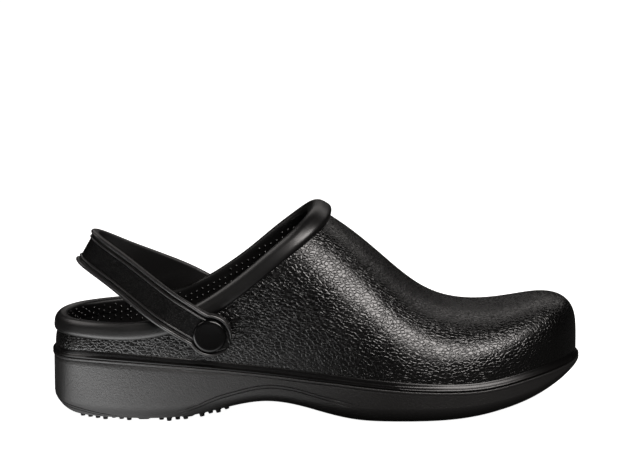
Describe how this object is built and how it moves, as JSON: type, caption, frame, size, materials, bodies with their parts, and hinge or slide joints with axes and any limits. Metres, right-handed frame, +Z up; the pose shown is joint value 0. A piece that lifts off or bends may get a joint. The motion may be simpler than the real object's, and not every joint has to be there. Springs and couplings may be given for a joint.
{
  "type": "chef clog",
  "caption": "Black moulded work clog for the right foot, with a closed round toe, rolled collar, thick sole, lugged outsole and a heel strap held by round-headed rivets.",
  "frame": {"origin": "on the floor under the middle of the heel, at the flat foot of the outsole lug there, 40 mm forward of the back of the heel", "axes": "+X to the toe, +Z up, and the lateral side of this right shoe at -Y"},
  "size_m": [0.2961, 0.1084, 0.1173],
  "materials": {
    "upper": "satin moulded foam with a leather-like grain",
    "sole": "matte moulded foam",
    "outsole": "matte rubber",
    "insole": "matte foam with small nubs",
    "strap": "satin moulded foam",
    "rivet": "smooth plastic"
  },
  "bodies": {
    "root": {"upper": "upper", "sole": "sole", "outsole": "outsole", "insole": "insole", "heel_strap": "strap", "rivet_lateral": "rivet", "rivet_medial": "rivet"}
  },
  "joints": []
}
